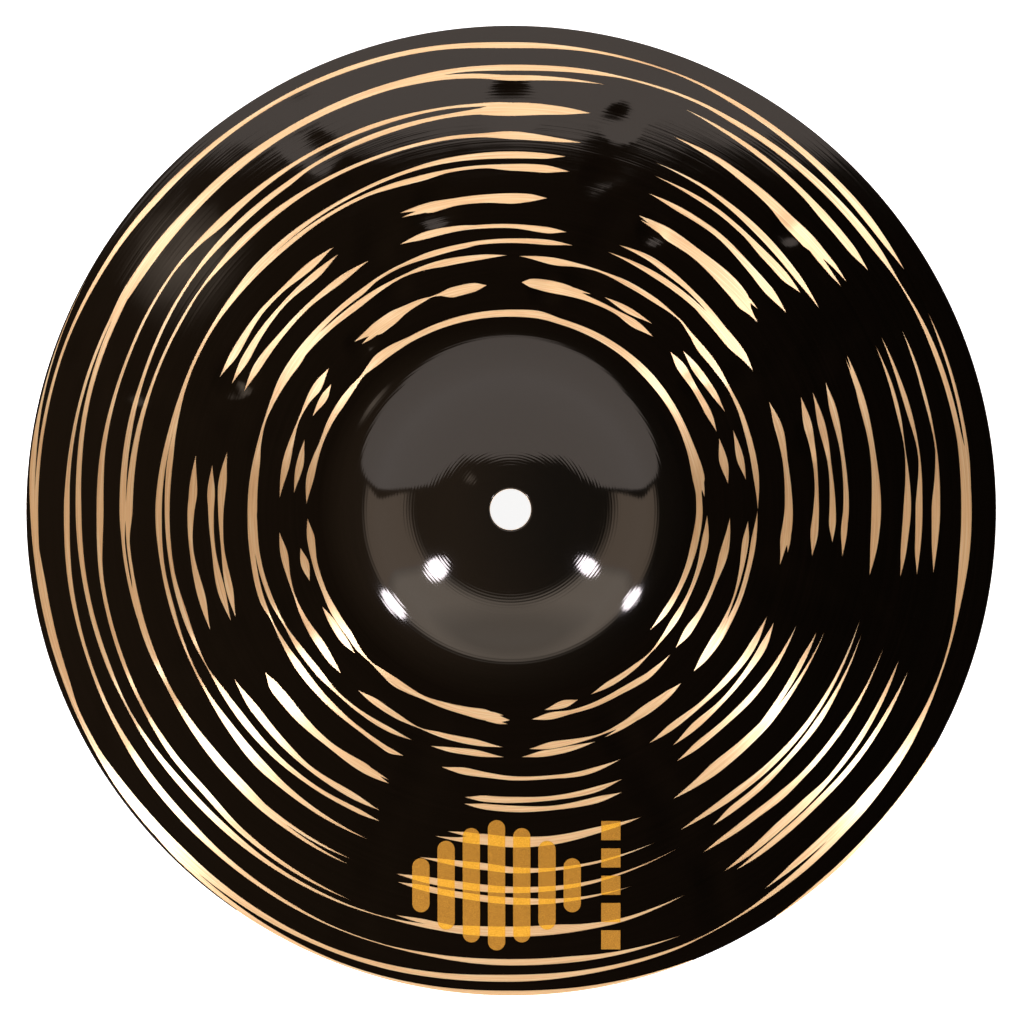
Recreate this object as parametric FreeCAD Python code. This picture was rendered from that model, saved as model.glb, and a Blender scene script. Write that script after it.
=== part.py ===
import FreeCAD, Part
# A small thin crash cymbal: one round bronze plate with a domed bell, a curved bow and a bare rim, a dark
# finish film on each face, and a printed emblem on the bow.
# Millimetres, +Z up. The origin is the centre of the circle on which the rim rests, straight under the
# mounting hole. The emblem is on the -Y side.

import math
import os

# ---- Driving dimensions -------------------------------------------------------------------------------
DIAMETER = 304.8            # a twelve-inch cymbal
HOLE_DIAMETER = 12.7        # clears the sleeve of a cymbal stand
DOME_RADIUS = 72.0          # crown of the bell
COVE_RADIUS = 36.0          # hollow curve between the bell and the bow
BELL_SLOPE = 34.7           # steepest slope, where the crown turns into the cove, in degrees
ROOT_SLOPE = 3.0            # slope where the bow starts
RIM_SLOPE = 13.0            # slope where the bow ends
HOLE_THICKNESS = 1.10       # whole thickness at the mounting hole
ROOT_THICKNESS = 0.80       # whole thickness where the bow starts
RIM_THICKNESS = 0.60        # whole thickness at the rim
FILM = 0.05                 # thickness of each dark film
TOP_RIM_GAP = 0.25          # from the top film's end to the outermost circle, where the rim's round begins
UNDER_RIM_GAP = 0.7         # the underside film stops earlier, so that the bare rim is what the plate rests on
FILM_HOLE_GAP = 0.4         # bare bronze between a film's end and the hole
CROWN_STEPS, COVE_STEPS, BOW_STEPS = 9, 7, 9     # each curve is made in short arcs, the same on every layer

PRINT = 0.04                # thickness of the printed emblem
PRINT_INNER, PRINT_OUTER = 85.0, 145.0     # radii between which the print lies
BARS_CENTRE = (-4.5, -117.5)
BAR_PITCH = 7.9
BAR_WIDTH = 5.4
BAR_HEIGHTS = (17.0, 28.0, 36.0, 41.0, 36.0, 28.0, 17.0)
DOTS_CENTRE = (31.3, -117.5)
DOT_SIZE = 6.0
DOT_PITCH = 8.6
DOT_COUNT = 5

# ---- Derived dimensions -------------------------------------------------------------------------------
RADIUS = DIAMETER / 2
HOLE_RADIUS = HOLE_DIAMETER / 2
PLATE_RIM = RIM_THICKNESS - 2 * FILM       # bronze alone at the rim, rounded to a half circle
RIM_ROUND = PLATE_RIM / 2
AXIS = FreeCAD.Vector(0, 0, 1)
ORIGIN = FreeCAD.Vector(0, 0, 0)


class Curve:
    """One round stretch of the top face in the (radius, height) plane. sign is +1 for a convex stretch and -1 for
    a hollow one. A point is found by its slope, the angle in degrees by which the face falls away outwards."""

    def __init__(self, centre, radius, sign):
        self.centre = centre
        self.radius = radius
        self.sign = sign

    def point(self, slope, depth=0.0):
        """The point at that slope, depth below the top face along its normal."""
        reach = self.sign * self.radius - depth
        angle = math.radians(slope)
        return (self.centre[0] + reach * math.sin(angle), self.centre[1] + reach * math.cos(angle))

    def slope_at(self, radius, depth=0.0):
        """The slope in degrees at that distance from the axis, measured on the face that lies depth deeper."""
        return math.degrees(math.asin((radius - self.centre[0]) / (self.sign * self.radius - depth)))


def curve_through(point, slope, radius, sign):
    """A curve of that radius that passes through the point with that slope."""
    angle = math.radians(slope)
    centre = (point[0] - sign * radius * math.sin(angle), point[1] - sign * radius * math.cos(angle))
    return Curve(centre, radius, sign)


def sine(degrees):
    return math.sin(math.radians(degrees))


# The top face from the axis outwards: crown, cove and bow, each tangent to the next.
turn_radius = DOME_RADIUS * sine(BELL_SLOPE)
root_radius = turn_radius + COVE_RADIUS * (sine(BELL_SLOPE) - sine(ROOT_SLOPE))
rim_point = (
    RADIUS - RIM_ROUND + RIM_THICKNESS / 2 * sine(RIM_SLOPE),
    RIM_ROUND + RIM_THICKNESS / 2 * math.cos(math.radians(RIM_SLOPE)),
)
bow_radius = (rim_point[0] - root_radius) / (sine(RIM_SLOPE) - sine(ROOT_SLOPE))
bow = curve_through(rim_point, RIM_SLOPE, bow_radius, 1)
cove = curve_through(bow.point(ROOT_SLOPE), ROOT_SLOPE, COVE_RADIUS, -1)
crown = curve_through(cove.point(BELL_SLOPE), BELL_SLOPE, DOME_RADIUS, 1)


def thickness(radius):
    """Whole thickness, films included: it tapers from the hole to the bow's root, and on to the rim."""
    if radius < root_radius:
        share = (radius - HOLE_RADIUS) / (root_radius - HOLE_RADIUS)
        return HOLE_THICKNESS + share * (ROOT_THICKNESS - HOLE_THICKNESS)
    share = (radius - root_radius) / (RADIUS - root_radius)
    return ROOT_THICKNESS + share * (RIM_THICKNESS - ROOT_THICKNESS)


def vector(point):
    return FreeCAD.Vector(point[0], 0, point[1])


def face_arcs(depth_of, inner_radius, outer_radius=None):
    """The arcs of one face, from inner_radius out to outer_radius, or to where the rim's round begins. depth_of
    gives the depth below the top face. All faces are divided at the same slopes, so that their layers match."""
    start = crown.slope_at(inner_radius, depth_of(inner_radius))
    end = RIM_SLOPE if outer_radius is None else bow.slope_at(outer_radius, depth_of(outer_radius))
    arcs = []
    for curve, first, last, steps in (
        (crown, 0.0, BELL_SLOPE, CROWN_STEPS),
        (cove, BELL_SLOPE, ROOT_SLOPE, COVE_STEPS),
        (bow, ROOT_SLOPE, RIM_SLOPE, BOW_STEPS),
    ):
        breaks = [first + (last - first) * step / steps for step in range(steps + 1)]
        if curve is crown:
            breaks = [start] + [slope for slope in breaks if slope > start + 1]
        if curve is bow:
            breaks[-1] = end
        for low, high in zip(breaks, breaks[1:]):
            points = []
            for slope in (low, (low + high) / 2, high):
                points.append(vector(curve.point(slope, depth_of(curve.point(slope)[0]))))
            arcs.append(Part.Arc(*points).toShape())
    return arcs


def first_point(edges):
    return edges[0].valueAt(edges[0].FirstParameter)


def last_point(edges):
    return edges[-1].valueAt(edges[-1].LastParameter)


def revolve(edges):
    """A solid of revolution about the Z axis from a closed outline, which lies in the XZ plane."""
    wire = Part.Wire(Part.__sortEdges__(edges))
    return Part.Solid(Part.Face(wire).revolve(ORIGIN, AXIS, 360))


def ring(upper_depth, lower_depth, inner_radius, outer_radius):
    """A film of revolution between two depths."""
    upper = face_arcs(upper_depth, inner_radius, outer_radius)
    lower = face_arcs(lower_depth, inner_radius, outer_radius)
    closing = [
        Part.makeLine(first_point(upper), first_point(lower)),
        Part.makeLine(last_point(upper), last_point(lower)),
    ]
    return revolve(upper + lower + closing)


# ---- Sub-parts ----------------------------------------------------------------------------------------
def make_plate():
    """The bronze: bell, bow and rim in one piece, with a plain round hole and a rounded rim."""
    top = face_arcs(lambda radius: FILM, HOLE_RADIUS)
    bottom = face_arcs(lambda radius: thickness(radius) - FILM, HOLE_RADIUS)
    rim = Part.Arc(last_point(top), FreeCAD.Vector(RADIUS, 0, RIM_ROUND), last_point(bottom)).toShape()
    hole = Part.makeLine(first_point(top), first_point(bottom))
    return revolve(top + [rim] + bottom + [hole])


def make_films():
    """The dark finish on the top face and on the underside."""
    inner = HOLE_RADIUS + FILM_HOLE_GAP
    top = ring(lambda radius: 0.0, lambda radius: FILM, inner, RADIUS - TOP_RIM_GAP)
    underside = ring(lambda radius: thickness(radius) - FILM, thickness, inner, RADIUS - UNDER_RIM_GAP)
    return top, underside


def rounded_bar(centre, width, height):
    """An upright prism in plan: a bar with half-round ends, long enough to pass through the bow."""
    x, y = centre
    half, straight = width / 2, (height - width) / 2
    corners = [
        FreeCAD.Vector(x - half, y - straight, 0),
        FreeCAD.Vector(x + half, y - straight, 0),
        FreeCAD.Vector(x + half, y + straight, 0),
        FreeCAD.Vector(x - half, y + straight, 0),
    ]
    low, high = FreeCAD.Vector(x, y - height / 2, 0), FreeCAD.Vector(x, y + height / 2, 0)
    outline = Part.Wire([
        Part.Arc(corners[0], low, corners[1]).toShape(),
        Part.makeLine(corners[1], corners[2]),
        Part.Arc(corners[2], high, corners[3]).toShape(),
        Part.makeLine(corners[3], corners[0]),
    ])
    return Part.Face(outline).extrude(FreeCAD.Vector(0, 0, RADIUS / 2))


def dot(centre, size):
    """An upright square prism."""
    corner = FreeCAD.Vector(centre[0] - size / 2, centre[1] - size / 2, 0)
    return Part.makeBox(size, size, RADIUS / 2, corner)


def bow_layer(depth, inner_radius, outer_radius):
    """A layer of revolution that lies on the bow's top face, with its other face at that depth."""
    start, end = bow.slope_at(inner_radius), bow.slope_at(outer_radius)
    sides = []
    for level in (0.0, depth):
        points = [vector(bow.point(slope, level)) for slope in (start, (start + end) / 2, end)]
        sides.append([Part.Arc(*points).toShape()])
    inner, outer = sides
    closing = [
        Part.makeLine(first_point(inner), first_point(outer)),
        Part.makeLine(last_point(inner), last_point(outer)),
    ]
    return revolve(inner + outer + closing)


def make_emblem():
    """A plain generic print: a row of bars like a sound level, and a column of square dots."""
    layer = bow_layer(-PRINT, PRINT_INNER, PRINT_OUTER)
    middle = (len(BAR_HEIGHTS) - 1) / 2
    shapes = []
    for index, height in enumerate(BAR_HEIGHTS):
        centre = (BARS_CENTRE[0] + (index - middle) * BAR_PITCH, BARS_CENTRE[1])
        shapes.append(rounded_bar(centre, BAR_WIDTH, height))
    for index in range(DOT_COUNT):
        centre = (DOTS_CENTRE[0], DOTS_CENTRE[1] + (index - (DOT_COUNT - 1) / 2) * DOT_PITCH)
        shapes.append(dot(centre, DOT_SIZE))
    solids = []
    for shape in shapes:
        solids.extend(layer.common(shape).Solids)
    return Part.makeCompound(solids)


def main():
    os.makedirs("parts", exist_ok=True)
    top_film, underside_film = make_films()
    parts = {
        "cymbal_plate": make_plate(),
        "dark_finish_top": top_film,
        "dark_finish_underside": underside_film,
        "printed_emblem": make_emblem(),
    }
    for name, shape in parts.items():
        shape.exportStep("parts/" + name + ".step")
        box = shape.BoundBox
        print(
            name, "valid", shape.isValid(), "solids", len(shape.Solids),
            "volume %.0f mm3" % shape.Volume, "height %.2f to %.2f" % (box.ZMin, box.ZMax),
        )
    print(
        "bow radius %.1f, bow starts at %.1f and the crown ends at %.1f" % (bow_radius, root_radius, turn_radius)
    )


main()
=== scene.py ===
# The looks of the crash cymbal: a bronze plate, a glossy dark finish on both faces, the long bright cuts that
# the lathe makes through that finish, and a printed emblem. The object's lengths are in millimetres until
# they reach a mesh. The room's and the camera's are in metres.

import math
import random

import bpy
import numpy as np
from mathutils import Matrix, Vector
from mathutils.geometry import delaunay_2d_cdt


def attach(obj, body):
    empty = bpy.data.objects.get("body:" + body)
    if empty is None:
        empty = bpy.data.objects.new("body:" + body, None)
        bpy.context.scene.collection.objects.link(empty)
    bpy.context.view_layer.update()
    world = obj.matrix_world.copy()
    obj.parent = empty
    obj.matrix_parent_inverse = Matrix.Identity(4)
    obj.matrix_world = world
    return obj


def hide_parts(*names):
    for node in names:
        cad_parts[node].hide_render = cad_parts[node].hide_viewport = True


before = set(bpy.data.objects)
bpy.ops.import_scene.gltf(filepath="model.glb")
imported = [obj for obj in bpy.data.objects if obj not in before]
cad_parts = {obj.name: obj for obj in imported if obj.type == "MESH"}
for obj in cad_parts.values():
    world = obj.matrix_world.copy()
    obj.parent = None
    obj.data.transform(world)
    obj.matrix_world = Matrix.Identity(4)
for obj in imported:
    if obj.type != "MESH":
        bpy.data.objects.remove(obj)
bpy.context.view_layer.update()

MM = 0.001
LENS, SENSOR = 300.0, 36.0
VIEW_WIDTH = 0.3217          # how much of the floor the picture spans
EYE_HEIGHT = VIEW_WIDTH * LENS / SENSOR
# The camera stands a little to one side of the axis and is aimed just off the middle.
EYE_PLACE, EYE_TARGET = (0.0150, -0.0260), (0.0003, -0.0005)

# ---- The plate, as in the CAD model -------------------------------------------------------------------
RADIUS = 152.4
HOLE_RADIUS = 6.35
DOME_RADIUS, COVE_RADIUS = 72.0, 36.0
BELL_SLOPE, ROOT_SLOPE, RIM_SLOPE = 34.7, 3.0, 13.0
HOLE_THICKNESS, ROOT_THICKNESS, RIM_THICKNESS = 1.10, 0.80, 0.60
FILM = 0.05
LIP = 0.8                    # the top face rounds off towards the hole
FINISH_INNER = HOLE_RADIUS + 0.06
FINISH_OUTER = RADIUS - 0.25
UNDERSIDE_OUTER = RADIUS - 0.7
RIM_ROUND = RIM_THICKNESS / 2 - FILM
RIM_TOLERANCE = 0.01         # an edge point this close to FINISH_OUTER is on the rim
RIM_INSET = 0.03             # the bronze rim lies this far inside the film that goes round it
PRINT = 0.04


def sine(degrees):
    return math.sin(math.radians(degrees))


def cosine(degrees):
    return math.cos(math.radians(degrees))


crown_end = DOME_RADIUS * sine(BELL_SLOPE)
root_radius = crown_end + COVE_RADIUS * (sine(BELL_SLOPE) - sine(ROOT_SLOPE))
rim_x = RADIUS - RIM_ROUND + RIM_THICKNESS / 2 * sine(RIM_SLOPE)
rim_z = RIM_ROUND + RIM_THICKNESS / 2 * cosine(RIM_SLOPE)
bow_radius = (rim_x - root_radius) / (sine(RIM_SLOPE) - sine(ROOT_SLOPE))
bow_x = rim_x - bow_radius * sine(RIM_SLOPE)
bow_z = rim_z - bow_radius * cosine(RIM_SLOPE)
cove_x = root_radius + COVE_RADIUS * sine(ROOT_SLOPE)
cove_z = bow_z + (bow_radius + COVE_RADIUS) * cosine(ROOT_SLOPE)
crown_z = cove_z - (COVE_RADIUS + DOME_RADIUS) * cosine(BELL_SLOPE)


def profile(radius):
    """Height of the smooth top face at each radius."""
    crown = crown_z + np.sqrt(DOME_RADIUS**2 - np.minimum(radius, crown_end) ** 2)
    cove = cove_z - np.sqrt(COVE_RADIUS**2 - (np.clip(radius, crown_end, root_radius) - cove_x) ** 2)
    bow = bow_z + np.sqrt(bow_radius**2 - (np.maximum(radius, root_radius) - bow_x) ** 2)
    return np.where(radius < crown_end, crown, np.where(radius < root_radius, cove, bow))


def thickness(radius):
    """Whole thickness at each radius."""
    places = (HOLE_RADIUS, root_radius, RADIUS)
    return np.interp(radius, places, (HOLE_THICKNESS, ROOT_THICKNESS, RIM_THICKNESS))


# ---- Hammering ----------------------------------------------------------------------------------------
# The hammer marks lie mostly along eight spokes. Angles are in degrees anticlockwise from +X.
SPOKES = (28, 73, 117, 162, 207, 250, 297, 344)
SPOKE_RADII = (72, 80, 89, 98, 107, 116, 125, 134, 143)
# Deep marks that catch the large light: angle, radius, size, depth.
DEEP_MARKS = (
    (104, 97, 9, 0.50), (154, 96, 9, 0.55), (132, 70, 6, 0.45), (34, 70, 6, 0.45), (81, 70, 6.5, 0.45),
    (63, 98, 6.5, 0.40), (45, 124, 7, 0.38), (13, 98, 8, 0.50), (90, 127.5, 11, 0.55),
)
SPOKE_SIZES, SPOKE_DEPTHS = (7.5, 10.5), (0.12, 0.3)
SPOKE_SWAY, SPOKE_STRAY = 2.5, 2     # how far a mark can be from its place, in degrees and in millimetres
# Light marks all over the bow, in rings: how many and at which radius.
RINGS = ((24, 76), (28, 92), (32, 108), (36, 124), (40, 139))
RING_SIZES, RING_DEPTHS = (6, 9), (0.01, 0.05)
RING_SWAY, RING_STRAY = 0.3, 3       # the same for these, in steps round the ring and in millimetres
MARK_SEED = 5
FADE_END, FADE_WIDTH = 1.0, 8.0     # the marks fade out over this width and end this far inside the rim


def hammer_marks():
    """Every hammer mark as x, y, size and depth."""
    chance = random.Random(MARK_SEED)

    def mark(degrees, radius, sizes, depths, stray):
        """One mark, up to stray from its radius."""
        reach = radius + chance.uniform(-stray, stray)
        size = chance.uniform(*sizes)
        return (reach * cosine(degrees), reach * sine(degrees), size, chance.uniform(*depths))

    marks = []
    for spoke in SPOKES:
        for radius in SPOKE_RADII:
            angle = spoke + chance.uniform(-SPOKE_SWAY, SPOKE_SWAY)
            marks.append(mark(angle, radius, SPOKE_SIZES, SPOKE_DEPTHS, SPOKE_STRAY))
    for count, radius in RINGS:
        for step in range(count):
            angle = (step + chance.uniform(-RING_SWAY, RING_SWAY)) * 360 / count
            marks.append(mark(angle, radius, RING_SIZES, RING_DEPTHS, RING_STRAY))
    for angle, radius, size, depth in DEEP_MARKS:
        marks.append((radius * cosine(angle), radius * sine(angle), size, depth))
    return marks


MARKS = hammer_marks()


def relief(x, y):
    """How far hammering has pushed the top face down at each point."""
    depth = np.zeros_like(x)
    for mark_x, mark_y, size, deep in MARKS:
        share = ((x - mark_x) ** 2 + (y - mark_y) ** 2) / size**2
        depth += np.where(share < 1, deep * (1 - np.minimum(share, 1)) ** 2, 0)
    fade = np.clip((RADIUS - FADE_END - np.hypot(x, y)) / FADE_WIDTH, 0, 1)
    return depth * fade * fade * (3 - 2 * fade)


def top(x, y):
    """Height of the top face at each point, with its rounded edge at the hole."""
    radius = np.hypot(x, y)
    inside = np.clip(HOLE_RADIUS + LIP - radius, 0, LIP)
    return profile(radius) - relief(x, y) - (LIP - np.sqrt(LIP**2 - inside**2))


def under(x, y):
    """Height of the underside at each point."""
    radius = np.hypot(x, y)
    return profile(radius) - relief(x, y) - thickness(radius)


def normals(height, x, y):
    """Unit normals of a height function, upward."""
    step = 0.02
    slope_x = (height(x + step, y) - height(x - step, y)) / (2 * step)
    slope_y = (height(x, y + step) - height(x, y - step)) / (2 * step)
    found = np.stack((-slope_x, -slope_y, np.ones_like(x)), axis=1)
    return found / np.linalg.norm(found, axis=1)[:, None]


# ---- The bright cuts ----------------------------------------------------------------------------------
# Each cut runs along the lathe's turning direction: angle in degrees, radius and width. Width 0 is a tip. The
# radii are as they look from EYE_HEIGHT, where the higher parts of the bow look a little larger.
CUT_CENTRE = (0.27, -0.14)   # the plate sat slightly off centre on the lathe
CUTS = (
    # along the rim
    ((150, 152.4, 0), (165, 151.8, 0.5), (175, 151.2, 1.8), (181, 150.5, 1.6), (190, 149.5, 2.6),
     (200, 149.8, 2.2), (205, 150.4, 1.4), (210, 150.5, 1.7), (215, 150.2, 2.9), (220, 149.9, 3.4),
     (225, 149.7, 3.6), (230, 149.3, 2.4), (240, 149.2, 1.6), (247, 149, 1.2), (255, 148.4, 1.6),
     (260, 147.8, 1.7), (270, 146.8, 2.2), (280, 146.7, 1.4), (290, 146.8, 0.8), (295, 146.4, 0.3),
     (300, 145.8, 0.6), (305, 145.2, 1.4), (310, 144.8, 2), (315, 144.3, 2.4), (320, 143.6, 4),
     (325, 143.9, 3.2), (330, 144.2, 2.4), (335, 144.2, 1.2), (340, 144, 0.6), (345, 143.6, 0.9),
     (350, 143, 2.2), (355, 142.8, 3.2), (360, 142.8, 3.3), (366, 142.8, 2.8), (370, 142.4, 1.6),
     (380, 142, 1.5), (385, 141.8, 1), (390, 141.3, 0.4), (397, 141, 2.3), (410, 140.8, 2),
     (420, 140.8, 1.5), (425, 141.1, 0.9), (435, 140.6, 0.6), (440, 140.1, 1.4), (450, 139.3, 1.9),
     (457, 139.5, 1.5), (465, 138.8, 2.2), (480, 138.6, 2), (490, 138.4, 2.6), (496, 138.2, 2.8),
     (505, 138.6, 3.2), (510, 139, 3), (515, 139.7, 0.9), (525, 139.9, 0.9), (535, 139.9, 1.3),
     (540, 139.9, 1.8), (550, 140.6, 1.4), (560, 141, 1), (567, 141.3, 1.2), (575, 141.3, 2.2),
     (582, 141.2, 2.3), (590, 141.5, 1.6), (600, 141.9, 1), (607, 142.2, 0.4), (613, 142.1, 0.3),
     (620, 141.8, 1), (630, 141.8, 2), (636, 142, 2), (643, 142.8, 1.2), (651.7, 143.5, 0)),
    ((222, 151, 1), (226, 151.2, 1.4), (230, 151.3, 1.4), (240, 151.8, 1.2), (250, 152.1, 0.8),
     (260, 151.8, 1), (270, 151.4, 1.4), (280, 151.6, 0.9), (290, 152, 0.4), (294, 152.1, 0)),
    ((302.5, 152, 0), (310, 151.6, 1), (315, 151.5, 1), (325, 151.8, 0.7), (331, 151.9, 0)),
    ((303.7, 142.8, 0), (310, 142.1, 2), (315, 142.2, 2.4), (320, 142.6, 1.6), (324, 143, 0.2)),
    ((363, 144, 0.8), (368, 144.2, 1.1), (372, 144.3, 1), (380, 144.6, 0.8), (385.5, 144.8, 0)),
    ((31.5, 144.7, 0), (36, 144.5, 1.7), (40, 144.7, 2.3), (50, 145.2, 1.8), (60, 146, 1.4),
     (70, 146.8, 0.5), (80, 146.7, 0.9), (90, 146.4, 1.9), (100, 147.5, 1.5), (110, 148.1, 1.5),
     (120, 148.4, 1.2), (130, 148.4, 1.5), (138, 148.6, 1.9), (145, 149.2, 1.5), (150, 149.4, 1.2),
     (160, 149.8, 0.8), (170, 149.6, 1), (180, 149.5, 1.2), (190, 149.6, 0.6)),
    # the second row in
    ((77.5, 137.1, 0), (83, 136.6, 1), (90, 136.1, 1.8), (95, 137.2, 1.5), (100, 138, 1.5),
     (110, 138.5, 1)),
    ((150, 138.5, 1), (155, 138.4, 1.6), (165, 137.8, 1.4), (175, 136.6, 1.6), (180, 136.2, 1.8),
     (190, 136, 1.4), (200, 135.8, 1.4), (207, 135.7, 0.6), (213, 135.3, 1.4), (220, 134.6, 2),
     (227, 134.4, 2), (235, 134.5, 1.3), (245, 134.3, 0.7), (252, 133.8, 0.3), (258, 133.2, 1.2),
     (265, 132.4, 3), (270, 132.2, 3.2), (275, 132.2, 3.2), (280, 132.7, 2), (285, 133.1, 1.2),
     (290, 132.7, 0.6), (294.3, 132.3, 0)),
    ((254, 132.1, 0), (258, 131.9, 1.4), (262, 132, 1)),
    # 134 and 130
    ((351.6, 133.8, 0), (356, 133.2, 2), (360, 133.2, 2.7), (365, 134.1, 1.4), (369, 134.7, 0.5),
     (375, 134.6, 1), (380, 134.9, 0.8), (384.8, 135.1, 0)),
    ((34, 135, 0), (38, 134.7, 2.4), (43, 134.8, 2.5), (47, 135.3, 1.8), (55, 136.2, 1.5),
     (60, 136.7, 1.1), (66.7, 137.5, 0)),
    ((302, 133, 0), (306, 132.7, 1.4), (310, 132.5, 1.8), (315, 132.6, 1.8), (325, 133.6, 1.6),
     (332, 134, 1.2), (338, 134.3, 0)),
    ((300.4, 131.4, 0), (305, 130.7, 1.7), (311, 129.9, 2.6), (315, 130, 2.4), (320, 130.5, 1.4),
     (327, 130.6, 1.6), (335, 130.4, 1), (338.8, 130.3, 0)),
    # 128
    ((351, 128.8, 0), (355, 128, 1.8), (360, 127.9, 2.2), (368, 129.1, 0.6), (375, 128.5, 1.6),
     (380, 128.3, 1), (385.3, 128.3, 0)),
    ((34.3, 127.4, 0), (37, 127.2, 1.2), (40, 126.6, 2.6), (42, 125.9, 4.4), (46, 125.8, 4),
     (50, 126.6, 2.8), (55, 127.2, 2.2), (60, 127.9, 1.6), (66.7, 128.1, 0)),
    ((34.2, 125.2, 0), (37, 124.9, 1.2), (40, 125, 1.8), (43, 125.3, 1.5)),
    ((78.7, 127.4, 0), (83, 126.7, 2.6), (90, 126.2, 4.2), (93, 126, 3.2), (95, 125.9, 1.8),
     (100, 125.7, 1.2), (110, 125.5, 1.6), (120, 125.2, 1), (125, 124.5, 1.6), (135, 124.4, 1.9),
     (140, 124.5, 1.4), (145, 124.3, 0.8), (150, 124, 0.9), (160, 123.2, 1), (165, 123, 1.5),
     (170, 122.7, 1.8), (180, 122.3, 2), (185, 122.5, 1), (190, 122.3, 1), (196, 122, 1)),
    ((87, 127.4, 0.8), (92, 127.9, 1.3), (95, 128, 1), (100, 128.3, 0.8), (110, 128.5, 1.4),
     (120, 128.7, 1.1), (130, 128.6, 1.9), (135, 128.7, 2.6), (140, 129.6, 1.4), (145, 130.2, 0.7),
     (150, 130.2, 0.8), (160, 129.9, 0.9), (170, 129.9, 1.4), (180, 129.4, 2.2), (190, 130.7, 1.2),
     (200, 131, 1.2), (207, 131.2, 1), (215, 131.2, 1.8), (222, 130.7, 2), (230, 131.7, 1.6),
     (240, 132.2, 0.9), (247.7, 132.4, 0)),
    # 124
    ((350.3, 123.8, 0), (355, 123.7, 2), (360, 124.2, 2.4), (365, 124.7, 1.2), (369, 125, 0.3),
     (375, 125.3, 1.2), (379, 125.5, 0.9), (384.5, 125.5, 0)),
    ((299.2, 123, 0), (303, 122.5, 1.4), (308, 122.4, 2.2), (313, 123, 2.4), (318, 123.5, 1.6),
     (326, 124, 1.6), (332, 124.3, 0.8), (339.8, 124.4, 0)),
    # 120
    ((79.2, 117.7, 0), (83, 117.4, 1.3), (90, 118, 2.5), (95, 118.4, 1.2), (100, 118.8, 1.1),
     (110, 118.9, 1), (120, 119.3, 1.2), (130, 119.6, 2), (135, 119.7, 2.2), (140, 119.8, 1.4),
     (145, 120, 0.6), (150, 119.8, 0.8), (160, 119.8, 0.9), (165, 119.9, 1.3), (175, 120.1, 2),
     (180, 120.3, 2.2), (185, 121, 1), (190, 120.9, 1), (194, 121.4, 2), (200, 121.5, 1.9),
     (207, 121.3, 1.2), (212, 121.2, 1.8), (220, 121, 2.8), (225, 121.1, 3), (230, 121.6, 2.4),
     (235, 122.1, 1.2), (240, 122.3, 0.8), (245.3, 122.4, 0)),
    ((228, 120.9, 1), (234, 120.9, 1), (240, 120.8, 0.7), (245.3, 120.5, 0)),
    ((252.9, 122, 0), (257, 121.7, 1.8), (262, 121.8, 2), (270, 122.6, 2.2), (280, 123.6, 0.9),
     (287.7, 123.8, 0)),
    ((252.3, 119.7, 0), (257, 119, 2), (262, 118.8, 2.4), (270, 119.1, 2), (280, 119.4, 1.2),
     (288, 118.9, 0.5), (296.5, 118.1, 0)),
    # 115
    ((349.7, 114.2, 0), (355, 114.3, 2.4), (360, 114.5, 3), (370, 114.9, 1.7), (377, 115.2, 2.2),
     (380, 115.5, 1.6), (385, 116.1, 0)),
    ((375, 114.7, 0.6), (380, 115, 0.9), (384.5, 115.2, 0)),
    ((33.3, 115.6, 0), (40, 116, 2), (47, 116.8, 2.2), (55, 117.8, 1.5), (60, 118.3, 0.9),
     (67.7, 118.4, 0)),
    ((37, 113.6, 0), (41, 112.9, 2.6), (45, 112.9, 2.4), (50, 113.6, 1.4), (57, 114.3, 1.3),
     (67, 114.4, 0)),
    ((302.5, 117.3, 0), (307, 116.5, 2), (312, 116.6, 2), (318, 116.6, 1.4), (325, 116.8, 1.8),
     (332, 116.7, 0.9), (340.7, 116.5, 0)),
    ((297.8, 113.4, 0), (303, 113, 1.5), (308, 113.1, 2.2), (315, 113.8, 1.9), (325, 114.5, 1.4),
     (333, 114.6, 0.9), (342.8, 114.6, 0)),
    # 111
    ((81.3, 112.6, 0), (85, 111.9, 1.8), (90, 111.8, 2.2), (100, 111.9, 1.6), (110, 111.4, 1),
     (120, 111, 1), (130, 110.9, 1.6), (137, 110.8, 1.8), (143, 110.3, 1.6), (150, 110.3, 1),
     (160, 110.1, 1), (165, 110, 1.4), (175, 110.7, 1.8), (180, 111, 2), (190, 111.1, 1.2),
     (195, 111, 1.4), (205, 111.4, 0.6), (210, 111.5, 0.8), (217, 111.6, 2.2), (225, 112.2, 3),
     (230, 112.4, 2), (240, 112.7, 0.9), (246.5, 112.7, 0)),
    ((255, 112.6, 0), (260, 112.1, 1.6), (265, 112.1, 2.2), (270, 112.9, 2), (277, 113.4, 1),
     (285, 113.6, 0.7), (293.5, 113.5, 0)),
    # 108
    ((80.3, 108.1, 0), (85, 107.9, 2.5), (90, 107.9, 2.1), (95, 108.5, 1), (100, 108.6, 1),
     (105, 108.3, 1.8), (110, 108.7, 1.6), (115, 109.2, 1), (120, 109.3, 1), (130, 109.3, 1.4),
     (140, 109.7, 1.2), (146, 110, 0.8)),
    ((156, 110, 0.5), (160, 109.6, 0.6), (167, 108.8, 1), (172, 108.5, 1.8), (180, 108.3, 1.5),
     (190, 108.3, 1.2), (197, 107.9, 1.8), (203, 107.8, 1), (207, 107.6, 0.3), (212, 107.1, 1.6),
     (218, 106.9, 2.3), (225, 107, 1.8), (235, 106.6, 1.2), (243, 106, 1.4), (247, 106, 0)),
    ((35.7, 106.3, 0), (41, 106.3, 2.7), (45, 106.7, 2.2), (55, 108.3, 1.6), (60, 108.3, 1.7),
     (66.7, 108.6, 0)),
    # 104
    ((352, 104.8, 0), (357, 104.6, 2), (360, 105, 1.8), (370, 105.4, 1.2), (377, 105.8, 2.2),
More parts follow.
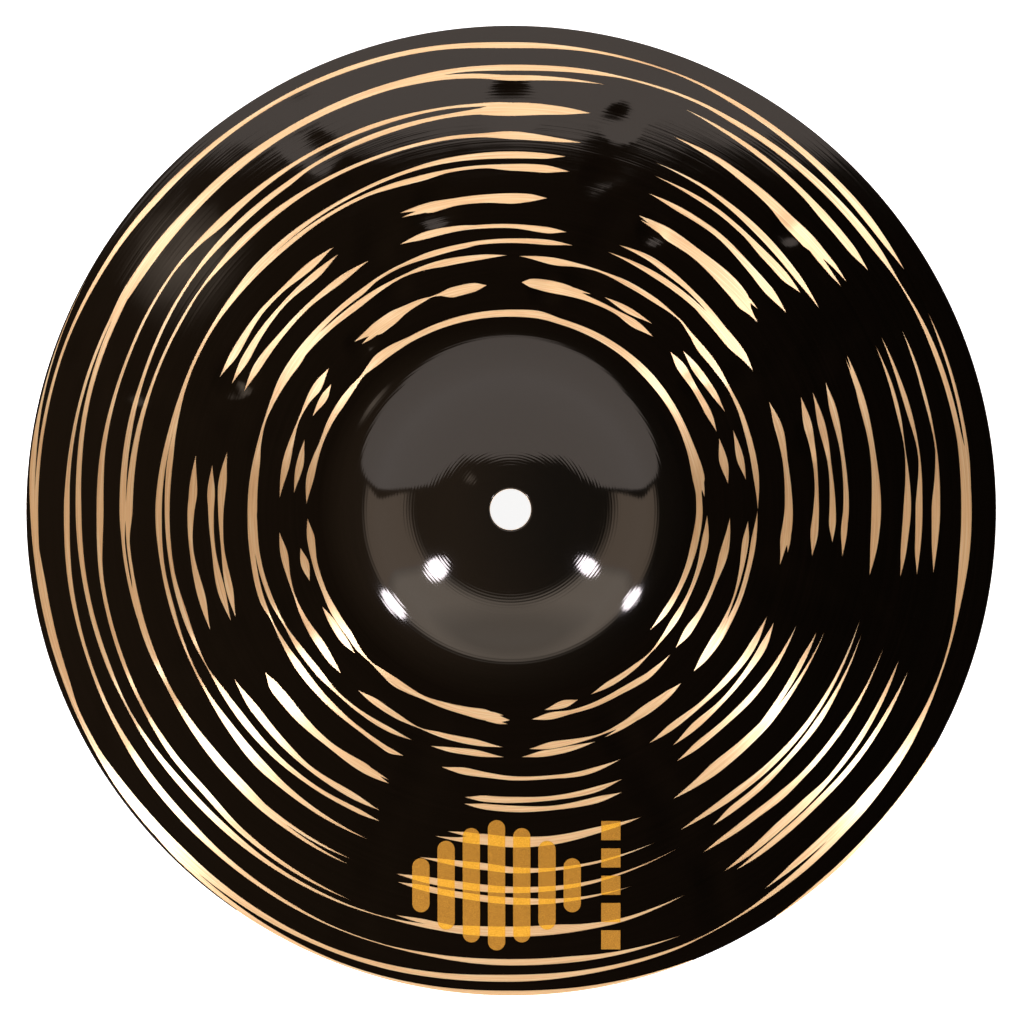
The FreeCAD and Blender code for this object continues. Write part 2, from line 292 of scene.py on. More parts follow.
     (382.3, 106.5, 0)),
    ((256.7, 105, 0), (261, 104.6, 1.4), (265, 103.6, 3.4), (270, 104.1, 3.4), (277, 104.3, 2.8),
     (285, 103.9, 2), (293, 104.5, 0)),
    ((258.7, 102.7, 0), (262, 102.6, 1.2), (266, 102.9, 1.5)),
    ((299.2, 103.8, 0), (304, 103.4, 2), (309, 103.1, 3.6), (315, 103.5, 3.2), (320, 104, 2.8),
     (324, 104.5, 1.6), (330, 104.8, 0.9), (339, 105.4, 0)),
    ((318, 103.2, 1), (324, 102.9, 1.5), (332, 102.7, 1.6), (338.3, 103.1, 0)),
    # 100
    ((354.3, 101.2, 0), (358, 100.8, 2.2), (360, 100.8, 2), (368, 100.9, 1.1), (375, 101, 2.3),
     (381.5, 101.6, 0)),
    ((37.4, 97.3, 0), (40, 97.4, 1.8), (42, 98, 4.6), (45, 98.6, 5), (55, 99.4, 3.3), (60, 99.7, 3.8),
     (63, 100.4, 2.2), (66.7, 101, 0)),
    ((39.3, 99.9, 0), (42, 99.7, 1), (45, 99.6, 1)),
    ((60, 99.2, 1.8), (63, 99.5, 1.1), (66.2, 99.9, 0)),
    ((83.5, 98.8, 0), (87, 98.4, 2.6), (90, 98.1, 3.3), (95, 98.4, 2.6), (100, 98.6, 2.4),
     (105, 98.6, 3.4), (107.5, 99.4, 1.6), (110.6, 99.9, 0)),
    ((103, 98.1, 1.5), (107, 98.2, 1.2), (110.6, 98.4, 0)),
    ((124, 100, 0), (130, 99.6, 2.4), (137, 100.1, 1.2), (142, 100.5, 1.4), (150, 100.1, 2.4),
     (155.5, 100.9, 0)),
    ((170, 100.8, 0), (177, 100.3, 2.6), (180, 100.8, 2.2), (187, 101.4, 1.2), (195, 101.1, 2.4),
     (201.7, 101.9, 0)),
    ((211.2, 102, 0), (218, 102, 2.6), (225, 102.4, 2.2), (232, 102.8, 1.4), (240, 102.5, 2),
     (246.3, 102.9, 0)),
    # 95
    ((351.3, 95.4, 0), (356, 95.3, 2.4), (360, 95.6, 1.8), (365, 96.1, 1.1), (372, 96.6, 1.7),
     (376, 96.8, 2.6), (381.5, 97.6, 0)),
    ((124, 97.3, 0), (130, 96.3, 2.2), (138, 96.7, 1.2), (145, 96.6, 1.8), (150, 96.3, 2.4),
     (155.7, 96.6, 0)),
    ((171.3, 95.2, 0), (177, 94.6, 2.4), (180, 94.5, 1.8), (187, 94.5, 1.2), (195, 94.6, 2.4),
     (201.5, 94.8, 0)),
    ((303.3, 94.3, 0), (309, 94, 2), (315, 94.4, 1.8), (322, 95.3, 2), (330, 96, 1.3), (338, 96.4, 0)),
    ((260.7, 93.3, 0), (265, 93.4, 1.8), (270, 93.7, 2), (278, 94.3, 1.4), (286, 94.7, 2),
     (291.4, 95, 0)),
    ((260.7, 91.2, 0), (265, 90.9, 2), (270, 90.9, 1.9), (278, 91.2, 1.4), (286, 91.5, 1.8),
     (292.4, 91.2, 0)),
    # 91
    ((78.8, 89.2, 0), (83, 88.8, 2), (90, 89.4, 1.3), (97, 89.8, 1.2), (100, 90.2, 1.6),
     (107, 90.6, 2.3), (112.8, 90.7, 0)),
    ((119.7, 90.5, 0), (127, 90.3, 2.1), (135, 90.7, 1.3), (142, 91, 1.5), (150, 91.8, 2.4),
     (156, 92.1, 0)),
    ((168.3, 91.3, 0), (175, 91.3, 2.6), (180, 91.4, 1.7), (187, 91.6, 1), (195, 92, 2.3),
     (201.2, 93, 0)),
    ((213.3, 92.6, 0), (217, 92.9, 3.2), (220, 92.8, 3.4), (225, 93.1, 2.8), (232, 93.2, 1.8),
     (240, 93.2, 3), (243, 93.7, 1.6), (245.8, 94, 0)),
    ((239, 92.6, 1.5), (242, 92.7, 1.1), (245.5, 93, 0)),
    ((304.4, 89.5, 0), (311, 88.8, 2.2), (318, 89.2, 1.3), (325, 89.5, 1.6), (331, 89.8, 2.2),
     (336.9, 89.5, 0)),
    # 86
    ((348.5, 86, 0), (352, 86, 1.6), (355, 86.5, 3.2), (360, 87, 2.6), (365, 87.1, 2), (370, 87.3, 1.6),
     (377, 87.8, 2.5), (383, 87.8, 0)),
    ((351.3, 87.7, 0), (354, 87.5, 1.2), (357, 87.4, 1.3)),
    ((30, 87.6, 0), (35, 87.5, 2.4), (40, 87.4, 2.2), (45, 88.2, 1.6), (50, 88.9, 1.4), (57, 89.7, 2),
     (62, 90.3, 1.5), (68, 90, 0)),
    ((32, 87, 0), (38, 86.2, 2.4), (45, 86.4, 2.2), (48, 86.6, 1.8), (57, 86.6, 1.8), (69.7, 86.7, 0)),
    ((77, 85.5, 0), (83, 85, 1.7), (90, 84.8, 1.4), (97, 84.8, 1.3), (100, 84.5, 1.6), (107, 84.4, 1.8),
     (115, 84.4, 0.9), (120, 84.1, 0.9), (125, 83.3, 1.7), (132, 83.2, 1.5), (139, 83.1, 1.9),
     (145, 82.5, 3.4), (150, 82.7, 2.8), (155, 82.6, 1.6), (160, 82.5, 0.7), (165, 82.1, 1.2),
     (170, 81.6, 2.4), (180, 81.5, 3), (185, 82.2, 2), (190, 82.6, 1.7), (200, 83.3, 1.6),
     (205, 82.9, 0.4), (210, 82.9, 1.2), (217, 83, 2.4), (225, 83.3, 2), (235, 83.7, 1.2),
     (240, 84.2, 1.4), (243, 84.6, 1.6), (246.2, 84.2, 0)),
    ((91, 80.2, 0), (97, 80.2, 1.6), (105, 80.6, 2.2), (110, 81.1, 1.4), (115, 81.2, 0.7),
     (120, 81, 1.2), (127, 80.7, 2), (135, 81.2, 1.7), (140, 81.7, 1.7), (145, 82, 1.4)),
    ((177, 80.7, 1), (184, 80.9, 1.6), (190, 81, 1.4), (200, 80.6, 1.4), (207, 79.9, 0.6),
     (213, 79.5, 1.8), (219, 79.2, 2.1), (227, 79.3, 0.8), (232, 79.2, 1), (240, 78.9, 1.5),
     (246.7, 78.6, 0)),
    ((254.7, 83.5, 0), (260, 83.2, 2.2), (265, 83.5, 1.6), (270, 84.1, 1.3), (278, 84.6, 1.1),
     (286, 85.5, 1.6), (293.7, 85.3, 0)),
    ((300.5, 84.9, 0), (307, 84.5, 2), (315, 85.1, 1.3), (322, 85.9, 1.9), (330, 86.7, 2.2),
     (337.5, 86.8, 0)),
    # 78
    ((0.2, 77.3, 0), (10, 77.6, 1.9), (18, 77.9, 1.7), (25, 78.3, 1.2), (29, 78.3, 0.9), (35, 78.3, 2),
     (40, 78.2, 2.4), (45, 79, 1), (49, 79.9, 0.5), (57, 79.9, 1.6), (62, 80, 1.6), (70, 80.1, 0.6),
     (75, 79.8, 1.2), (80, 79.4, 2.3), (88.3, 80, 0)),
    ((251, 78.2, 0), (256, 77.5, 1.6), (261, 77, 2), (268.2, 77.5, 0)),
    ((272.3, 77.5, 0), (278, 77, 2), (283, 77, 1.8), (290, 77.2, 0)),
    ((274.2, 75.1, 0), (280, 74.8, 2.2), (286, 75.2, 1.4), (292, 75.7, 0.5), (298, 75.7, 1.6),
     (304, 75.5, 3), (310, 75.7, 2.2), (314.5, 76, 0)),
    ((292.2, 77, 0), (298, 76.4, 1.2), (303, 76, 1.4)),
    ((318.5, 76.3, 0), (323, 76.1, 2.4), (328, 76, 3.2), (333, 76.6, 1.8), (338, 76.8, 1.4),
     (345, 76.6, 1.4), (352, 76.6, 1.6), (360, 77.2, 0)),
    ((328, 75.3, 1.5), (333, 75.2, 1.1), (338, 75, 0.6), (345, 74.5, 1.2), (352, 74.1, 2),
     (357.4, 74.3, 0)),
    # 73
    ((7.4, 74.2, 0), (13, 73.6, 2.2), (20, 74, 0)),
    ((24.8, 73.8, 0), (31, 73.3, 2), (37, 73, 2.4), (43, 73.6, 0)),
    ((53, 73.4, 0), (60, 72.8, 1.9), (66.5, 73.1, 0)),
    ((96.3, 71.2, 0), (100, 71.1, 2.9), (105, 71, 3.2), (109, 71.6, 0.6), (110.5, 71.7, 0.3),
     (113, 71.7, 1.2), (118, 71.5, 2.4), (122, 71.2, 4), (126, 71, 4.2), (129.5, 71.8, 1.8),
     (133, 72.5, 0)),
    ((125, 70.2, 1.5), (129, 70.2, 1.2), (132, 70.4, 0)),
    ((142, 72.8, 0), (148, 72.4, 2.8), (152, 72.7, 1.4), (157, 72.7, 0.5), (162, 72.5, 1.4),
     (168, 72.4, 2.4), (177, 73, 0)),
    ((185.3, 73.3, 0), (191, 72.8, 2.3), (197, 73.1, 1), (201, 73.3, 0.5), (207, 73.5, 1.4),
     (215, 73.3, 2.6), (220, 73.8, 1.8), (223.7, 74.1, 0)),
    ((229.4, 74.3, 0), (235, 73.8, 2), (241, 74, 1.6), (247, 74.2, 0.3), (252, 73.9, 1.4),
     (260, 73.7, 2), (268, 74.4, 0)),
    # 68
    ((7, 68.5, 0), (13, 68.3, 2.6), (19.2, 69, 0)),
    ((21, 69, 0), (27, 69, 2), (33, 69.1, 1.7), (40, 69.7, 2.7), (45, 70.5, 0)),
    ((50.8, 70.4, 0), (57, 70.2, 2.4), (63, 70.5, 1.2), (70, 70.7, 1.6), (76, 71.3, 3.4),
     (80, 71.4, 3.8), (85, 71.7, 2.8), (87.5, 71.8, 0)),
    ((69.8, 72.4, 0), (74, 72.2, 1), (78, 72.2, 1.2)),
    ((145, 69.2, 0), (149, 68.8, 2.2), (154.7, 69.2, 0)),
    ((161, 68.8, 0), (168, 68.1, 2.3), (175.5, 68.6, 0)),
    ((190, 67.4, 0), (194.5, 67.1, 2.6), (199.3, 67.2, 0)),
    ((206.8, 66.7, 0), (212, 66.4, 2), (217, 66.6, 2.2), (222.5, 66.6, 0)),
    ((275.4, 65.9, 0), (281, 65.7, 2.2), (287, 66, 1.2), (294, 66.3, 1.5), (300, 66.3, 1.7),
     (306, 66.8, 2), (310, 67.3, 1.8), (317.8, 67.3, 0)),
    ((320, 67.2, 0), (326, 67.1, 2.4), (333, 67.5, 1.4), (340, 67.6, 1.3), (348, 68, 2.6),
     (358.2, 68.6, 0)),
    # round the bell
    ((319.3, 57.5, 0), (327, 57.8, 1.7), (335, 58, 1.5), (343, 58.2, 1.8), (350, 58.4, 2.2),
     (360, 59, 2), (365, 59, 1.8), (370, 59.6, 3.8), (380, 59.5, 2.6), (390, 59.8, 2.2),
     (405, 60.3, 2.6), (415, 60.7, 2.2), (425, 61, 2), (435, 61.3, 1.8), (443, 62.1, 2.4),
     (450, 62, 2.2), (465, 62.2, 2), (480, 62.5, 1.8), (487, 63.1, 2.8), (491, 63.4, 3),
     (495, 63.3, 1.8), (498, 63.2, 0.8), (502, 63.1, 1.6), (507, 63.2, 2.2), (515, 63.5, 1.6),
     (520, 63.5, 1.2), (525, 63.8, 1.8), (530, 64.1, 2.4), (538.3, 64.5, 0)),
    ((364, 60.7, 0), (367, 60.5, 1), (371, 60.3, 1.6)),
    ((182.2, 64.2, 0), (188, 63.7, 2.4), (195, 64, 1.6), (203, 64.1, 1.5), (210, 64.2, 2.2),
     (217, 64.2, 2), (222, 64.9, 1.4), (227, 65.1, 0.4), (231, 65, 1.5), (236, 65.2, 2.6),
     (240, 65.1, 2), (245, 65, 1.2), (250, 64.8, 1.8), (257, 64.6, 2.6), (262, 64.7, 3.4),
     (266, 65.5, 2.4), (269.5, 65.9, 0)),
    ((263, 66, 1.2), (266, 66.6, 1.1), (268.9, 67.1, 0)),
    ((262, 64.2, 1.6), (265, 64.2, 1.2), (267.8, 64.4, 0)),
    ((279.3, 63.5, 0), (285, 63, 2.4), (289.3, 63, 0)),
    ((293.2, 62.9, 0), (300, 62.5, 1.8), (308, 62.5, 1.4), (314, 62.4, 0.4), (320, 62, 1),
     (326, 61.7, 1.9), (335, 61.6, 1.1), (343, 61.5, 1.4), (350, 61.5, 2.2), (358.7, 61.4, 0)),
)
CUT_STEP = 1.0               # degrees between the points of a cut's outline
OUTSIDE = -1e3               # the depth of a point that is beyond a cut's ends


def smooth(places, values, wanted):
    """A smooth curve through the values that never overshoots them."""
    places, values = np.array(places, float), np.array(values, float)
    gaps = np.diff(places)
    rises = np.diff(values) / gaps
    slopes = np.zeros_like(values)
    slopes[0], slopes[-1] = rises[0], rises[-1]
    same_way = rises[:-1] * rises[1:] > 0
    before, after = rises[:-1][same_way], rises[1:][same_way]
    slopes[1:-1][same_way] = 2 * before * after / (before + after)
    index = np.clip(np.searchsorted(places, wanted) - 1, 0, len(gaps) - 1)
    share = (wanted - places[index]) / gaps[index]
    keep, pull = (1 + 2 * share) * (1 - share) ** 2, share * (1 - share) ** 2
    gain, push = share**2 * (3 - 2 * share), share**2 * (share - 1)
    return (
        keep * values[index] + pull * gaps[index] * slopes[index]
        + gain * values[index + 1] + push * gaps[index] * slopes[index + 1]
    )


class Cut:
    """One cut, sampled along its length."""

    def __init__(self, stops):
        angles, radii, widths = zip(*stops)
        count = int((angles[-1] - angles[0]) / CUT_STEP) + 2
        self.angles = np.linspace(angles[0], angles[-1], count)
        seen = smooth(angles, radii, self.angles)
        self.radii = seen * (1 - profile(seen) * MM / EYE_HEIGHT)
        self.halves = np.maximum(smooth(angles, widths, self.angles), 0) / 2

    def outline(self):
        """The outline's points in order, with each tip once."""
        turn = np.radians(self.angles)
        sides = []
        for sign in (1, -1):
            reach = self.radii + sign * self.halves
            sides.append(np.stack((reach * np.cos(turn), reach * np.sin(turn)), axis=1) + CUT_CENTRE)
        outer, inner = sides
        if self.halves[0] == 0:
            inner = inner[1:]
        if self.halves[-1] == 0:
            inner = inner[:-1]
        return np.concatenate((outer, inner[::-1]))

    def depth(self, angle, radius):
        """How far inside the cut each point is, across its width. It is negative outside."""
        inside = np.full_like(radius, OUTSIDE)
        first = math.floor(self.angles[0] / 360) - 1
        for turns in range(first, first + 4):
            place = angle + 360 * turns
            along = (place >= self.angles[0]) & (place <= self.angles[-1])
            middle = np.interp(place[along], self.angles, self.radii)
            half = np.interp(place[along], self.angles, self.halves)
            inside[along] = np.maximum(inside[along], half - np.abs(radius[along] - middle))
        return inside


def cut_depth(cuts, points):
    """The deepest place of each point in any cut."""
    x, y = points[:, 0] - CUT_CENTRE[0], points[:, 1] - CUT_CENTRE[1]
    angle, radius = np.degrees(np.arctan2(y, x)) % 360, np.hypot(x, y)
    deepest = np.full_like(radius, OUTSIDE)
    for cut in cuts:
        deepest = np.maximum(deepest, cut.depth(angle, radius))
    return deepest


# ---- The emblem ---------------------------------------------------------------------------------------
BARS_CENTRE, BAR_PITCH, BAR_WIDTH = (-4.5, -117.5), 7.9, 5.4
BAR_HEIGHTS = (17.0, 28.0, 36.0, 41.0, 36.0, 28.0, 17.0)
DOTS_CENTRE, DOT_SIZE, DOT_PITCH, DOT_COUNT = (31.3, -117.5), 6.0, 8.6, 5
BAR_END_STEPS = 16           # straight steps round each bar's half-round end


def bar_places():
    """Centre and height of each bar."""
    middle = (len(BAR_HEIGHTS) - 1) / 2
    for index, height in enumerate(BAR_HEIGHTS):
        yield (BARS_CENTRE[0] + (index - middle) * BAR_PITCH, BARS_CENTRE[1]), height


def dot_places():
    """Centre of each square dot."""
    for index in range(DOT_COUNT):
        yield DOTS_CENTRE[0], DOTS_CENTRE[1] + (index - (DOT_COUNT - 1) / 2) * DOT_PITCH


def emblem_outlines():
    """The outlines of the emblem's shapes."""
    outlines = []
    for (x, y), height in bar_places():
        straight = (height - BAR_WIDTH) / 2
        points = []
        for end in (1, -1):
            for step in range(BAR_END_STEPS + 1):
                turn = math.pi * step / BAR_END_STEPS + (0 if end > 0 else math.pi)
                points.append((
                    x + BAR_WIDTH / 2 * math.cos(turn),
                    y + end * straight + BAR_WIDTH / 2 * math.sin(turn),
                ))
        outlines.append(points)
    half = DOT_SIZE / 2
    for x, y in dot_places():
        outlines.append([
            (x - half, y - half), (x + half, y - half), (x + half, y + half), (x - half, y + half),
        ])
    return outlines


def in_emblem(points):
    """Whether each point is printed."""
    printed = np.zeros(len(points), bool)
    for (x, y), height in bar_places():
        along = np.maximum(np.abs(points[:, 1] - y) - (height - BAR_WIDTH) / 2, 0)
        printed |= np.hypot(points[:, 0] - x, along) < BAR_WIDTH / 2
    for x, y in dot_places():
        printed |= np.maximum(np.abs(points[:, 0] - x), np.abs(points[:, 1] - y)) < DOT_SIZE / 2
    return printed


# ---- One triangle net for everything that lies on the top face ----------------------------------------
NET_STEP = 1.5               # between the points that fill the net
NET_LEAST = 60               # points in the smallest ring of the fill
MERGE_DISTANCE = 1e-6        # outline points closer than this become one
NET_MARGIN = 0.4             # the fill ends this far inside the underside film's edge
CUT_MARGIN = 0.35            # and keeps this far from the cuts' outlines
EDGE_POINTS = 720
LIP_POINTS = 180
LIP_RADII = (6.5, 6.6, 6.75, 6.95, 7.15, 7.7)


def circle(radius, count):
    turn = np.arange(count) * 2 * math.pi / count
    return np.stack((radius * np.cos(turn), radius * np.sin(turn)), axis=1)


def build_net(cuts):
    """Points and triangles that cover the face, with every cut's and every print's outline as edges."""
    loops = [circle(FINISH_OUTER, EDGE_POINTS), circle(UNDERSIDE_OUTER, EDGE_POINTS)]
    loops += [circle(radius, LIP_POINTS) for radius in (FINISH_INNER, *LIP_RADII)]
    loops += [cut.outline() for cut in cuts]
    loops += [np.array(points) for points in emblem_outlines()]
    rows = []
    for radius in np.arange(LIP_RADII[-1] + NET_STEP / 2, UNDERSIDE_OUTER - NET_MARGIN, NET_STEP):
        rows.append(circle(radius, max(NET_LEAST, int(2 * math.pi * radius / NET_STEP))))
    fill = np.concatenate(rows)
    fill = fill[np.abs(cut_depth(cuts, fill)) > CUT_MARGIN]
    points, edges = [], []
    for loop in loops:
        first = len(points)
        points.extend(Vector(point) for point in loop)
        edges.extend((first + step, first + (step + 1) % len(loop)) for step in range(len(loop)))
    points.extend(Vector(point) for point in fill)
    found = delaunay_2d_cdt(points, edges, [], 0, MERGE_DISTANCE, False)
    return np.array([tuple(point) for point in found[0]]), np.array(found[2])


def edge_loops(triangles):
    """The directed edges that only one of the triangles has."""
    pairs = np.concatenate((triangles[:, (0, 1)], triangles[:, (1, 2)], triangles[:, (2, 0)]))
    seen = set(map(tuple, pairs))
    return [(a, b) for a, b in pairs.tolist() if (b, a) not in seen]


def add_piece(name, mesh):
    """An object with that mesh, in the scene."""
    piece = bpy.data.objects.new(name, mesh)
    bpy.context.scene.collection.objects.link(piece)
    return piece


def make_sheet(name, points, triangles, height, sign, drop, wrap=(), slots=None):
    """A thin layer on a face: triangles on the height function, facing sign, with walls of height drop at
    every edge. At the rim the layer goes on over the rounded edge through the wrap's radii, heights and
    tilts."""
    used, triangles = np.unique(triangles, return_inverse=True)
    triangles = triangles.reshape(-1, 3)
    x, y = points[used, 0], points[used, 1]
    radii = np.hypot(x, y)
    places = np.stack((x, y, height(x, y)), axis=1)
    borders = edge_loops(triangles)
    if sign < 0:
        triangles = triangles[:, ::-1]
    vertices, faces = places.tolist(), triangles.tolist()
    vertex_normals = (normals(height, x, y) * sign).tolist()
    face_slots = [0] * len(faces) if slots is None else list(slots)

    def wall(a, b):
        """The wall under one edge."""
        out = np.array((y[b] - y[a], x[a] - x[b], 0.0))
        out = (out / np.linalg.norm(out)).tolist()
        first = len(vertices)
        for index, lower in ((a, 0), (b, 0), (b, 1), (a, 1)):
            vertices.append([x[index], y[index], places[index, 2] - sign * drop * lower])
            vertex_normals.append(out)
        order = (first, first + 3, first + 2, first + 1)
        faces.append(order if sign > 0 else order[::-1])

    def wrap_row(index):
        """The vertices that lead over the rim from one edge point."""
        turn = math.atan2(y[index], x[index])
        row = [index]
        for radius, level, tilt in wrap:
            row.append(len(vertices))
            vertices.append([radius * math.cos(turn), radius * math.sin(turn), level])
            vertex_normals.append([sine(tilt) * math.cos(turn), sine(tilt) * math.sin(turn), cosine(tilt)])
        return row

    for a, b in borders:
        if wrap and min(radii[a], radii[b]) > FINISH_OUTER - RIM_TOLERANCE:
            row, next_row = wrap_row(a), wrap_row(b)
            for step in range(len(wrap)):
                faces.append((row[step], row[step + 1], next_row[step + 1], next_row[step]))
        else:
            wall(a, b)
    face_slots += [0] * (len(faces) - len(face_slots))
    mesh = bpy.data.meshes.new(name)
    mesh.from_pydata((np.array(vertices) * MM).tolist(), [], faces)
    mesh.polygons.foreach_set("material_index", face_slots)
    mesh.shade_smooth()
    mesh.normals_split_custom_set_from_vertices(vertex_normals)
    return add_piece(name, mesh)


RIM_CENTRE = RADIUS - RIM_ROUND - RIM_INSET     # of the rim's round, which the bronze and the film share
WRAP_TILTS = (35, 60, 90, 120)


def rim_wrap():
    """The film's way over the rounded rim: radius, height and the normal's tilt from upright."""
    reach = RIM_ROUND + RIM_INSET
    return [(RIM_CENTRE + reach * sine(tilt), RIM_ROUND + reach * cosine(tilt), tilt) for tilt in WRAP_TILTS]


PLATE_COLUMNS, PLATE_TOP_ROWS, PLATE_UNDER_ROWS = 480, 88, 70
PLATE_RIM_TILTS = range(30, 181, 25)
PLATE_UNDER_START = 0.4      # the underside's first row is this far inside the rim's centre
SHARP_ANGLE = 50.0


def make_plate(name):
    """The bronze: top face, rounded rim, underside and hole wall as one closed surface."""
    turn = np.arange(PLATE_COLUMNS) * 2 * math.pi / PLATE_COLUMNS
    rows = []

    def add_row(radius, level):
        x, y = radius * np.cos(turn), radius * np.sin(turn)
        rows.append(np.stack((x, y, level(x, y)), axis=1))

    end = RIM_CENTRE + RIM_ROUND * sine(RIM_SLOPE)
    for radius in (HOLE_RADIUS, *LIP_RADII, *np.linspace(LIP_RADII[-1] + 1, end, PLATE_TOP_ROWS)):
        add_row(radius, lambda x, y: top(x, y) - FILM)
    for tilt in PLATE_RIM_TILTS:
        level = RIM_ROUND + RIM_ROUND * cosine(tilt)
        add_row(RIM_CENTRE + RIM_ROUND * sine(tilt), lambda x, y: np.full_like(x, level))
    for radius in np.linspace(RIM_CENTRE - PLATE_UNDER_START, HOLE_RADIUS, PLATE_UNDER_ROWS):
        add_row(radius, lambda x, y: under(x, y) + FILM)
    faces = []
    for row in range(len(rows)):
        here, after = row * PLATE_COLUMNS, (row + 1) % len(rows) * PLATE_COLUMNS
        for column in range(PLATE_COLUMNS):
            beside = (column + 1) % PLATE_COLUMNS
            faces.append((here + column, after + column, after + beside, here + beside))
    mesh = bpy.data.meshes.new(name)
    mesh.from_pydata((np.concatenate(rows) * MM).tolist(), [], faces)
    mesh.shade_smooth()
    mesh.set_sharp_from_angle(angle=math.radians(SHARP_ANGLE))
    return add_piece(name, mesh)


# ---- Materials ----------------------------------------------------------------------------------------
def fill_ramp(node, stops):
    """Gives a colour ramp its stops, each a position and a colour."""
    elements = node.color_ramp.elements
    while len(elements) < len(stops):
        elements.new(0.5)
    for element, (position, colour) in zip(elements, stops):
        element.position = position
        element.color = (*colour, 1)


class Nodes:
    """A material's node tree, with short ways to add to it."""

    def __init__(self, name):
        self.material = bpy.data.materials.new(name)
        self.material.use_nodes = True
        self.tree = self.material.node_tree
        self.shader = self.tree.nodes["Principled BSDF"]

    def add(self, kind, **settings):
        node = self.tree.nodes.new(kind)
        for name, value in settings.items():
            setattr(node, name, value)
        return node

    def link(self, source, target):
        self.tree.links.new(source, target)

    def math(self, operation, first, second):
        node = self.add("ShaderNodeMath", operation=operation)
        for socket, value in zip(node.inputs, (first, second)):
            if isinstance(value, (int, float)):
                socket.default_value = value
            else:
                self.link(value, socket)
        return node.outputs[0]

    def vector_math(self, operation, source):
        node = self.add("ShaderNodeVectorMath", operation=operation)
        self.link(source, node.inputs[0])
        return node

    def flat_place(self):
        """The place in plan, with no height."""
        flat = self.vector_math("MULTIPLY", self.add("ShaderNodeTexCoord").outputs["Object"])
        flat.inputs[1].default_value = (1, 1, 0)
        return flat.outputs[0]

    def radius(self):
        """Distance from the axis in metres."""
        return self.vector_math("LENGTH", self.flat_place()).outputs["Value"]

    def turned(self, radial, around):
        """Coordinates that follow the turning direction: radial per metre outwards, around per turn."""
        parts = self.add("ShaderNodeSeparateXYZ")
        self.link(self.vector_math("NORMALIZE", self.flat_place()).outputs[0], parts.inputs[0])
        joined = self.add("ShaderNodeCombineXYZ")
        self.link(self.math("MULTIPLY", parts.outputs["X"], around), joined.inputs["X"])
        self.link(self.math("MULTIPLY", parts.outputs["Y"], around), joined.inputs["Y"])
        self.link(self.math("MULTIPLY", self.radius(), radial), joined.inputs["Z"])
        return joined.outputs[0]

    def noise(self, place, scale, detail=2.0):
        node = self.add("ShaderNodeTexNoise")
        node.inputs["Scale"].default_value = scale
        node.inputs["Detail"].default_value = detail
        self.link(place, node.inputs["Vector"])
        return node.outputs["Fac"]

    def ramp(self, factor, stops):
        node = self.add("ShaderNodeValToRGB")
        fill_ramp(node, stops)
        self.link(factor, node.inputs["Fac"])
        return node.outputs["Color"]

    def bump(self, height, strength, distance):
        node = self.add("ShaderNodeBump")
        node.inputs["Strength"].default_value = strength
        node.inputs["Distance"].default_value = distance
        self.link(height, node.inputs["Height"])
        self.link(node.outputs["Normal"], self.shader.inputs["Normal"])

    def set(self, **values):
        for name, value in values.items():
            self.shader.inputs[name.replace("_", " ")].default_value = value


def bronze_material():
    """Turned bronze: satin across the grooves, with fine streaks along them."""
    nodes = Nodes("turned_bronze")
    nodes.set(Metallic=0.93, Roughness=0.42, Anisotropic=1.0, Anisotropic_Rotation=0.25)
    tangent = nodes.add("ShaderNodeTangent", direction_type="RADIAL", axis="Z")
    nodes.link(tangent.outputs[0], nodes.shader.inputs["Tangent"])
    streaks = nodes.noise(nodes.turned(3200, 5), 1.0, 3.0)
    colour = nodes.ramp(streaks, (
        (0.3, (0.82, 0.48, 0.24)),
        (0.5, (0.95, 0.60, 0.30)),
        (0.7, (0.99, 0.72, 0.42)),
    ))
    nodes.link(colour, nodes.shader.inputs["Base Color"])
    nodes.bump(streaks, 0.25, 0.00003)
    return nodes.material


# The grooves that the lathe leaves on the bell: metres from one to the next, and how deep they look.
GROOVE_PITCH, GROOVE_DEPTH = 0.0009, 90.0


def finish_material():
    """The dark finish: nearly black and glossy over the lathe's fine rings, with a painted sheen that
    lightens its colour on the bell.
    """
    nodes = Nodes("dark_finish")
    nodes.set(Roughness=0.07, IOR=1.367, Specular_Tint=(1, 0.81, 0.65, 1))
    rings = nodes.noise(nodes.turned(1500, 1.2), 1.0, 3.0)
    colour = nodes.ramp(rings, ((0.3, (0.0003, 0.0002, 0.0001)), (0.7, (0.0009, 0.0005, 0.0003))))
    outwards = nodes.math("DIVIDE", nodes.radius(), root_radius * MM)
    # Painted sheen: the bell's colour is lifted most near the hole and down to none at the cove's root,
    # standing in for wall light that the rings scatter. The same ramp also fades the grooves out.
    painted_sheen_and_groove_fade = nodes.ramp(outwards, (
        (0.1, (0.0030, 0.0024, 0.0017)),
        (0.75, (0.0020, 0.0016, 0.0011)),
        (1.0, (0, 0, 0)),
    ))
    total = nodes.vector_math("ADD", colour)
    nodes.link(painted_sheen_and_groove_fade, total.inputs[1])
    nodes.link(total.outputs[0], nodes.shader.inputs["Base Color"])
    turns = nodes.math("MULTIPLY", nodes.radius(), 2 * math.pi / GROOVE_PITCH)
    grooves = nodes.math("MULTIPLY", nodes.math("SINE", turns, 0.0), painted_sheen_and_groove_fade)
    nodes.bump(nodes.math("ADD", rings, nodes.math("MULTIPLY", grooves, GROOVE_DEPTH)), 0.45, 0.00003)
    return nodes.material


def ink_material(name, dark, light):
    """Gold ink with fine metal flakes."""
    nodes = Nodes(name)
    nodes.set(Metallic=0.6, Roughness=0.45)
    place = nodes.add("ShaderNodeTexCoord").outputs["Object"]
    flakes = nodes.noise(place, 3800, 1.0)
    nodes.link(nodes.ramp(flakes, ((0.42, dark), (0.62, light))), nodes.shader.inputs["Base Color"])
    nodes.bump(flakes, 0.3, 0.00002)
    return nodes.material


